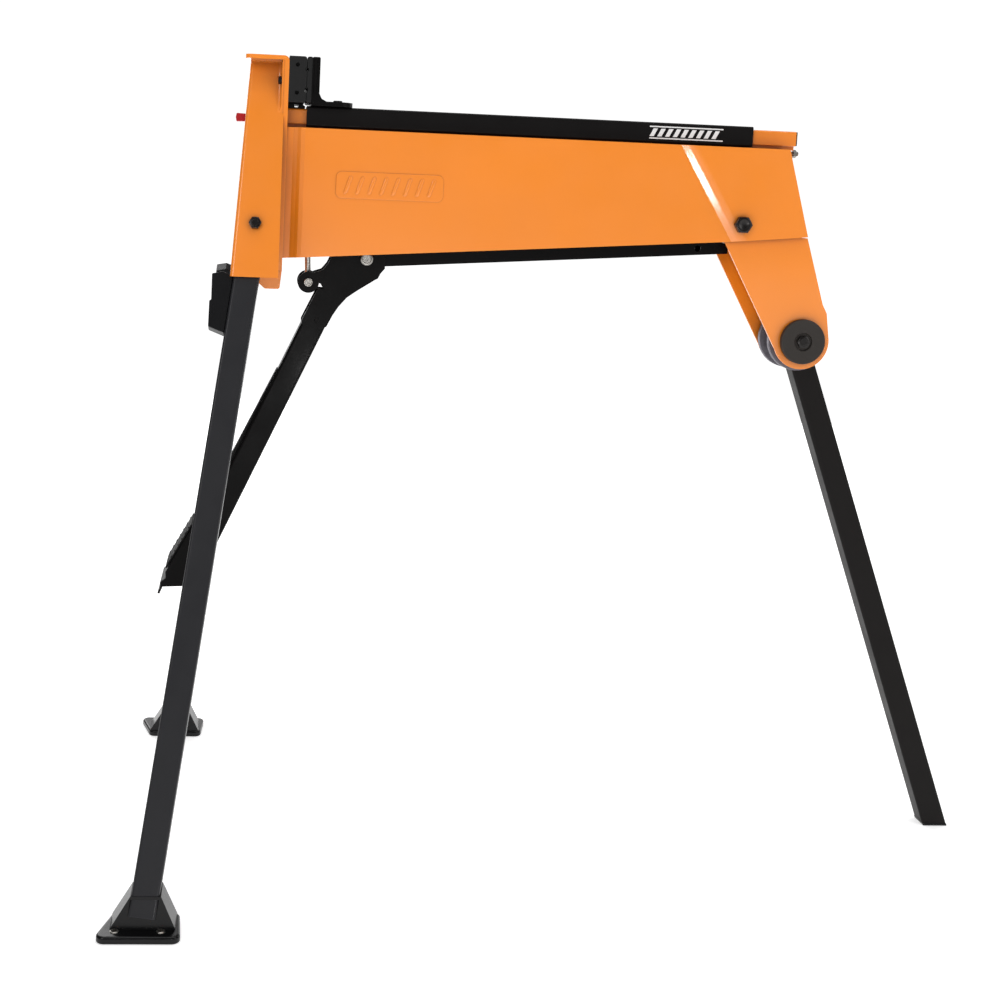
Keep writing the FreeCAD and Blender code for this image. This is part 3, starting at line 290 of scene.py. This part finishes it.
X, Y, Z = Vector((1, 0, 0)), Vector((0, 1, 0)), Vector((0, 0, 1))
SEGMENTS = 48                               # points round a turned piece; a multiple of six, for hexagons
FACE = 0.94                                 # a hex head's round faces, over half its width across flats
WASHER_FACE = 0.4 * MM
CHAMFER = math.tan(math.radians(30))
CROWN = ((0.62, 0.0), (0.56, 0.35 * MM))    # rings of a head's dimple: radius over half width, depth
THREAD_STEPS = 6                            # rings for each turn of a thread
THREAD_DEPTH = 0.55                         # over the pitch
THREAD_TIP = 0.86                           # radius at the tip over the radius elsewhere


def finish_piece(bm, name, body, look, smooth_angle=35):
    """Turns the mesh into a piece that rides on a body."""
    bmesh.ops.recalc_face_normals(bm, faces=bm.faces)
    mesh = bpy.data.meshes.new(name)
    bm.to_mesh(mesh)
    bm.free()
    mesh.materials.append(MATERIALS[look])
    mesh.shade_smooth()
    mesh.set_sharp_from_angle(angle=math.radians(smooth_angle))
    piece = bpy.data.objects.new(name, mesh)
    bpy.context.scene.collection.objects.link(piece)
    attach(piece, body)
    return piece


def joined(bm, rows):
    """Faces between closed rows of points, each row to the next."""
    for low, high in zip(rows, rows[1:]):
        for k in range(len(low)):
            n = (k + 1) % len(low)
            bm.faces.new((low[k], low[n], high[n], high[k]))


def capped(bm, rows):
    """A closed skin with a face on its first and last row."""
    joined(bm, rows)
    bm.faces.new(reversed(rows[0]))
    bm.faces.new(rows[-1])


def turned(bm, origin, axis, side, rings):
    """A solid of rings round an axis. A ring gives the distance along the axis and the radius at an angle."""
    axis = axis.normalized()
    side = (side - axis * side.dot(axis)).normalized()
    across = axis.cross(side)
    rows = []
    for ring in rings:
        row = []
        for k in range(SEGMENTS):
            angle = 2 * math.pi * k / SEGMENTS
            far, radius = ring(angle)
            way = side * math.cos(angle) + across * math.sin(angle)
            row.append(bm.verts.new(origin + axis * far + way * radius))
        rows.append(row)
    capped(bm, rows)


def level(far, radius):
    """A plain round ring."""
    return lambda angle: (far, radius)


def hexed(far, half, chamfer_from=None):
    """A six-sided ring; with chamfer_from its corners drop away like a turned chamfer."""
    def ring(angle):
        turn = math.fmod(angle, math.pi / 3) - math.pi / 6
        radius = half / math.cos(turn)
        if chamfer_from is None:
            return far, radius
        return far - (radius - chamfer_from) * CHAMFER, radius
    return ring


def hex_head(bm, origin, axis, side, half, tall, crown=True):
    """A hex head or nut with a washer face below and a turned chamfer above; half is half its width."""
    face = FACE * half
    rings = [level(0, face), level(WASHER_FACE, face), hexed(WASHER_FACE, half), hexed(tall, half, face),
             level(tall, face)]
    if crown:
        rings += [level(tall - deep, share * half) for share, deep in CROWN]
    turned(bm, origin, axis, side, rings)


def threaded(bm, origin, axis, side, radius, start, end, pitch):
    """A screw thread with a chamfered tip."""
    count = int((end - start) / pitch * THREAD_STEPS)

    def row(k):
        far = start + (end - start) * k / count
        tip = min(1.0, (end - far) / pitch)
        taper = THREAD_TIP + (1 - THREAD_TIP) * tip

        def ring(angle):
            phase = math.fmod(far / pitch - angle / (2 * math.pi) + 64, 1.0)
            groove = 1 - abs(2 * phase - 1)
            return far, (radius - THREAD_DEPTH * pitch * groove) * taper
        return ring
    turned(bm, origin, axis, side, [row(k) for k in range(count + 1)])


def middle(lo, hi, y=0.0):
    """The middle of a box along X and Z, at a chosen Y."""
    return Vector(((lo.x + hi.x) / 2, y, (lo.z + hi.z) / 2))


def cross_bolt():
    """The M12 bolt right through the chassis, with its nut on the left."""
    half, nut, shank, pitch, seat = 9.5 * MM, 7.5 * MM, 6 * MM, 1.75 * MM, 39 * MM
    lo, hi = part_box("chassis_cross_bolt")
    bm = bmesh.new()
    hex_head(bm, middle(lo, hi, -seat), -Y, X, half, -seat - lo.y)
    hex_head(bm, middle(lo, hi, seat), Y, X, half, nut, crown=False)
    threaded(bm, middle(lo, hi), Y, X, shank, -seat, hi.y, pitch)
    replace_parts(finish_piece(bm, "cross_bolt_detail", "chassis", "oxide"), "chassis_cross_bolt")


def hub_bolt():
    """The bolt through the rear leg's hub, with its head on the right."""
    half, head, shank, pitch = 7.1 * MM, 5 * MM, 6 * MM, 1.75 * MM
    lo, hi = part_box("hub_bolt")
    seat = lo.y + head
    bm = bmesh.new()
    hex_head(bm, middle(lo, hi, seat), -Y, X, half, head)
    threaded(bm, middle(lo, hi), Y, X, shank, seat, hi.y, pitch)
    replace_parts(finish_piece(bm, "hub_bolt_detail", "chassis", "oxide"), "hub_bolt")


def jaw_bolts():
    """The two small bolts of the fixed jaw's plate, with their heads in front."""
    half, shank, pitch = 4.1 * MM, 3 * MM, 1.0 * MM
    reach, start, edge = 7.8 * MM, -3.8 * MM, 4.2 * MM
    lo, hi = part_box("jaw_plate_bolts")
    bm = bmesh.new()
    for y in (lo.y + edge, hi.y - edge):
        seat = Vector((hi.x - reach, y, (lo.z + hi.z) / 2))
        hex_head(bm, seat, -X, Z, half, seat.x - lo.x, crown=False)
        threaded(bm, seat, X, Z, shank, start, reach, pitch)
    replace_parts(finish_piece(bm, "jaw_bolt_detail", "chassis", "oxide"), "jaw_plate_bolts")


def end_screw():
    """The screw at the rail's end, with its nut."""
    half, nut, shank, pitch, nut_seat = 4.4 * MM, 4.2 * MM, 3 * MM, 1.0 * MM, 7 * MM
    lo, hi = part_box("rail_end_screw")
    y, z = (lo.y + hi.y) / 2, (lo.z + hi.z) / 2
    bm = bmesh.new()
    hex_head(bm, Vector((hi.x - nut_seat, y, z)), X, Z, half, nut, crown=False)
    threaded(bm, Vector((lo.x, y, z)), X, Z, shank, 0, hi.x - lo.x, pitch)
    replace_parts(finish_piece(bm, "end_screw_detail", "chassis", "zinc"), "rail_end_screw")


def leg_bolts():
    """M8 pivot bolts of the front legs, with their nuts."""
    half, head, shank, pitch = 6.5 * MM, 5.3 * MM, 4 * MM, 1.25 * MM
    seat_out, grip, reach = 19.8 * MM, 40 * MM, 47 * MM
    for joint in frame["joints"]:
        if not joint["name"].startswith("front_leg"):
            continue
        hand = joint["name"].split("_")[2]
        pivot, outward = Vector(joint["pos_m"]), Vector(joint["axis"])
        if outward.y * pivot.y < 0:
            outward = -outward
        seat = pivot + outward * seat_out
        bm = bmesh.new()
        hex_head(bm, seat, outward, X, half, head)
        hex_head(bm, seat - outward * grip, -outward, X, half, head, crown=False)
        threaded(bm, seat, -outward, X, shank, 0, reach, pitch)
        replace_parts(finish_piece(bm, f"leg_bolt_detail_{hand}", "chassis", "oxide"), f"leg_pivot_bolt_{hand}")


def dished_head(bm, origin, axis, radius, tall, bore):
    """A turned pin head: rounded rim, shallow dish and a drilled centre."""
    turned(bm, origin, axis, X, [
        level(0, radius), level(0.55 * tall, radius), level(0.85 * tall, 0.95 * radius),
        level(tall, 0.86 * radius), level(tall, 0.7 * radius), level(0.7 * tall, 0.6 * radius),
        level(0.7 * tall, bore), level(0.2 * tall, 0.9 * bore),
    ])


def turned_pin(node, body, shank, bore):
    """A pin of the pedal, with a dished head at each end."""
    head = 3 * MM
    lo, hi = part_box(node)
    radius = (hi.z - lo.z) / 2
    bm = bmesh.new()
    turned(bm, middle(lo, hi), Y, X, [level(lo.y + head, shank), level(hi.y - head, shank)])
    dished_head(bm, middle(lo, hi, lo.y + head), -Y, radius, head, bore)
    dished_head(bm, middle(lo, hi, hi.y - head), Y, radius, head, bore)
    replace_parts(finish_piece(bm, f"{node}_detail", body, "zinc"), node)


def foot_eyelets():
    """Plated eyelets in the bolt holes of the feet."""
    spacing, bore, tube, radius, deep = 49 * MM, 2.5 * MM, 3.4 * MM, 4.9 * MM, 7 * MM
    crest, rim, under = 1.1 * MM, 0.5 * MM, 0.2 * MM
    profile = [(bore, 0.9 * MM), (0.75 * radius, crest), (radius, rim), (radius, -under), (tube, -under),
               (tube, -deep), (bore, -deep)]
    for mount in frame["record"]["mounts"]:
        if not mount["name"].endswith("foot_bolts"):
            continue
        hand = mount["name"].split("_")[0]
        x, y, half_thick = mount["pos_m"]
        bm = bmesh.new()
        for way in (-1, 1):
            spot = Vector((x + way * spacing / 2, y, 2 * half_thick))
            rows = []
            for far, height in profile:
                angles = [2 * math.pi * k / SEGMENTS for k in range(SEGMENTS)]
                ring = [Vector((far * math.cos(a), far * math.sin(a), height)) for a in angles]
                rows.append([bm.verts.new(spot + point) for point in ring])
            joined(bm, rows + rows[:1])
        finish_piece(bm, f"foot_eyelets_{hand}", f"front_leg_{hand}", "zinc")


def pill(bm, place, length, width, lean, low, high, steps=10):
    """A rounded raised bar on a plane: place maps (u, v, height) to a point."""
    def ring(inset, height):
        radius = width / 2 - inset
        row = []
        for end in (1, -1):
            for k in range(steps + 1):
                angle = math.pi * k / steps + (0 if end > 0 else math.pi)
                u = radius * math.cos(angle)
                v = radius * math.sin(angle) + end * (length - width) / 2
                row.append(bm.verts.new(place(u + lean * v, v, height)))
        return row
    rise = high - low
    capped(bm, [ring(0, low), ring(0, low + 0.35 * rise), ring(0.18 * width, low + 0.85 * rise),
                ring(0.32 * width, high)])


def pressed_ribs():
    """Plain slanted ribs on the raised fields of the chassis."""
    count, tall, width, lean, foot, proud = 8, 22 * MM, 5 * MM, 0.32, -0.2 * MM, 0.9 * MM
    lo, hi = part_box("side_fields")
    for hand, way in (("right", -1), ("left", 1)):
        bm = bmesh.new()
        for k in range(count):
            x = lo.x + (hi.x - lo.x) * (k + 1) / (count + 1)

            def place(u, v, height, x=x, way=way):
                return (x + u, way * (hi.y + height), (lo.z + hi.z) / 2 + v)
            pill(bm, place, tall, width, lean, foot, proud)
        finish_piece(bm, f"pressed_ribs_{hand}", "chassis", "orange", 60)


def stripe_outlines():
    """Outlines in X and Z of two rules and the slanted stripes between them."""
    start, end, low, high = 80 * MM, 172 * MM, 878.4 * MM, 894.0 * MM
    rule, count = 1.5 * MM, 9
    shapes = [
        [(start, low), (end, low), (end, low + rule), (start, low + rule)],
        [(start, high - rule), (end, high - rule), (end, high), (start, high)],
    ]
    pitch = (end - start) / (count + 0.5)
    foot, head = low + 2 * rule, high - 2 * rule
    for k in range(count):
        x = start + pitch * k
        shapes.append([(x, foot), (x + 0.55 * pitch, foot), (x + 1.05 * pitch, head),
                       (x + 0.5 * pitch, head)])
    return shapes


def bar_stripes():
    """Plain white stripes on the sides of the bar, as a film of paint."""
    film = 0.12 * MM
    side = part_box("sliding_bar")[1].y
    for hand, way in (("right", -1), ("left", 1)):
        bm = bmesh.new()
        for shape in stripe_outlines():
            rows = [[bm.verts.new((x, way * y, z)) for x, z in shape] for y in (side + film, side - film)]
            bm.faces.new(rows[0])
            bm.faces.new(reversed(rows[1]))
            for k in range(len(shape)):
                n = (k + 1) % len(shape)
                bm.faces.new((rows[0][k], rows[1][k], rows[1][n], rows[0][n]))
        finish_piece(bm, f"bar_stripes_{hand}", "jaw_carriage", "print", 20)


def tread_ribs():
    """Rounded grip ribs across the pedal's cover."""
    count, width, margin, foot, proud = 7, 3.2 * MM, 6 * MM, -0.4 * MM, 0.9 * MM
    top_inset, bottom_inset = 2.1 * MM, 1.1 * MM
    lo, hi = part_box("pedal_tread_cover")
    top, bottom = Vector((hi.x - top_inset, 0, hi.z)), Vector((lo.x, 0, lo.z + bottom_inset))
    run = (bottom - top).normalized()
    out = Vector((run.z, 0, -run.x))
    if out.x > 0:
        out = -out
    bm = bmesh.new()
    for k in range(count):
        centre = top.lerp(bottom, (k + 0.7) / (count + 0.4))

        def place(u, v, height, centre=centre):
            return centre + run * u + Y * v + out * height
        pill(bm, place, hi.y - lo.y - margin, width, 0.0, foot, proud)
    finish_piece(bm, "tread_ribs", "pedal", "grip", 60)


cross_bolt()
hub_bolt()
jaw_bolts()
end_screw()
leg_bolts()
turned_pin("pedal_pin", "chassis", 5 * MM, 2.2 * MM)
turned_pin("nose_pin", "pedal", 4 * MM, 1.8 * MM)
foot_eyelets()
pressed_ribs()
bar_stripes()
tread_ribs()


# ---------------------------------------------------------------- camera, floor and light

FLOOR_GLOW = 0.45                           # emission near the stand; it rises to 1 far away
WORLD_LIGHT, WORLD_SEEN = 0.15, 1.05        # the world's strength as light, and as the camera sees it
MIDDLE = (0.0, 0.0, 0.55)


def aimed(thing, spot, target):
    """Puts a lamp at a spot, pointing at the target."""
    thing.location = spot
    thing.rotation_euler = (Vector(target) - Vector(spot)).to_track_quat("-Z", "Y").to_euler()


def softbox(name, spot, target, wide, tall, watts, shape="RECTANGLE"):
    """A soft lamp with a flat face."""
    data = bpy.data.lights.new(name, "AREA")
    data.shape = shape
    data.size, data.size_y = wide, tall
    data.energy = watts
    lamp = bpy.data.objects.new(name, data)
    lamp.visible_camera = False
    bpy.context.scene.collection.objects.link(lamp)
    aimed(lamp, spot, target)


def set_camera():
    """A view of the right side, turned, tipped and rolled by a few degrees."""
    yaw, pitch, roll = 0.078206, 0.099439, 0.042950
    spot = (-0.39055, -1.7853, 0.80687)
    flat = Vector((math.cos(yaw), -math.sin(yaw), 0))
    ahead = Vector((math.sin(yaw) * math.cos(pitch), math.cos(yaw) * math.cos(pitch), -math.sin(pitch)))
    above = Vector((math.sin(yaw) * math.sin(pitch), math.cos(yaw) * math.sin(pitch), math.cos(pitch)))
    right = flat * math.cos(roll) + above * math.sin(roll)
    up = above * math.cos(roll) - flat * math.sin(roll)
    data = bpy.data.cameras.new("camera")
    data.lens = 52.2
    data.sensor_width = 36.0
    data.shift_x, data.shift_y = 0.13, -0.17
    data.clip_start = 0.05
    camera = bpy.data.objects.new("camera", data)
    bpy.context.scene.collection.objects.link(camera)
    turn = Matrix((right, up, -ahead)).transposed().to_4x4()
    camera.matrix_world = Matrix.Translation(spot) @ turn
    bpy.context.scene.camera = camera


def set_floor():
    """A plain pale floor with a faint texture, brighter far away to meet the white background."""
    mesh = bpy.data.meshes.new("floor")
    half = 14.0
    corners = [(-half, -half, 0), (half, -half, 0), (half, half, 0), (-half, half, 0)]
    mesh.from_pydata(corners, [], [(0, 1, 2, 3)])
    floor = bpy.data.objects.new("floor", mesh)
    bpy.context.scene.collection.objects.link(floor)
    tree = Tree("pale_floor")
    tint = tree.mix(tree.noise(0.6, 2.0), (0.93, 0.93, 0.93, 1.0), (0.96, 0.96, 0.96, 1.0))
    reach = tree.add("ShaderNodeVectorMath", {"operation": "LENGTH"})
    tree.links.new(tree.place, reach.inputs[0])
    glow = tree.span(reach.outputs["Value"], FLOOR_GLOW, 1.0, 1.0, 6.0)
    tree.surface(Base_Color=tint, Roughness=tree.span(tree.noise(0.08), 0.75, 0.9), Specular_IOR_Level=0.1,
                 Emission_Color=(1.0, 1.0, 1.0, 1.0), Emission_Strength=glow)
    mesh.materials.append(tree.material)


def set_light():
    """A white world for the camera and a dim one for the light, soft boxes all round, and a small lamp whose
    reflection runs along the crease in the chassis."""
    world = bpy.data.worlds.new("studio")
    world.use_nodes = True
    bpy.context.scene.world = world
    nodes, links = world.node_tree.nodes, world.node_tree.links
    dim = nodes["Background"]
    dim.inputs["Color"].default_value = (1.0, 1.0, 1.0, 1.0)
    dim.inputs["Strength"].default_value = WORLD_LIGHT
    white = nodes.new("ShaderNodeBackground")
    white.inputs["Color"].default_value = (1.0, 1.0, 1.0, 1.0)
    white.inputs["Strength"].default_value = WORLD_SEEN
    path = nodes.new("ShaderNodeLightPath")
    pick = nodes.new("ShaderNodeMixShader")
    links.new(path.outputs["Is Camera Ray"], pick.inputs[0])
    links.new(dim.outputs[0], pick.inputs[1])
    links.new(white.outputs[0], pick.inputs[2])
    links.new(pick.outputs[0], nodes["World Output"].inputs["Surface"])
    softbox("key", (-1.9, -2.9, 2.3), MIDDLE, 1.8, 1.8, 37)
    softbox("fill", (2.6, -2.2, 1.7), MIDDLE, 1.4, 2.2, 25)
    softbox("crease", (-0.17, -2.64, 0.2), (0.145, -0.038, 0.83), 0.15, 0.17, 4.2, shape="ELLIPSE")
    softbox("backdrop", (0.3, 3.4, 0.9), MIDDLE, 5.0, 2.0, 36)
    softbox("top", (0.1, 0.1, 3.2), MIDDLE, 3.0, 2.4, 45)
    softbox("back", (-1.6, 2.8, 2.2), MIDDLE, 2.0, 2.0, 40)
    softbox("edge", (2.9, 1.7, 1.5), MIDDLE, 0.8, 2.4, 22)
    bpy.context.scene.view_settings.view_transform = "Standard"


set_camera()
set_floor()
set_light()
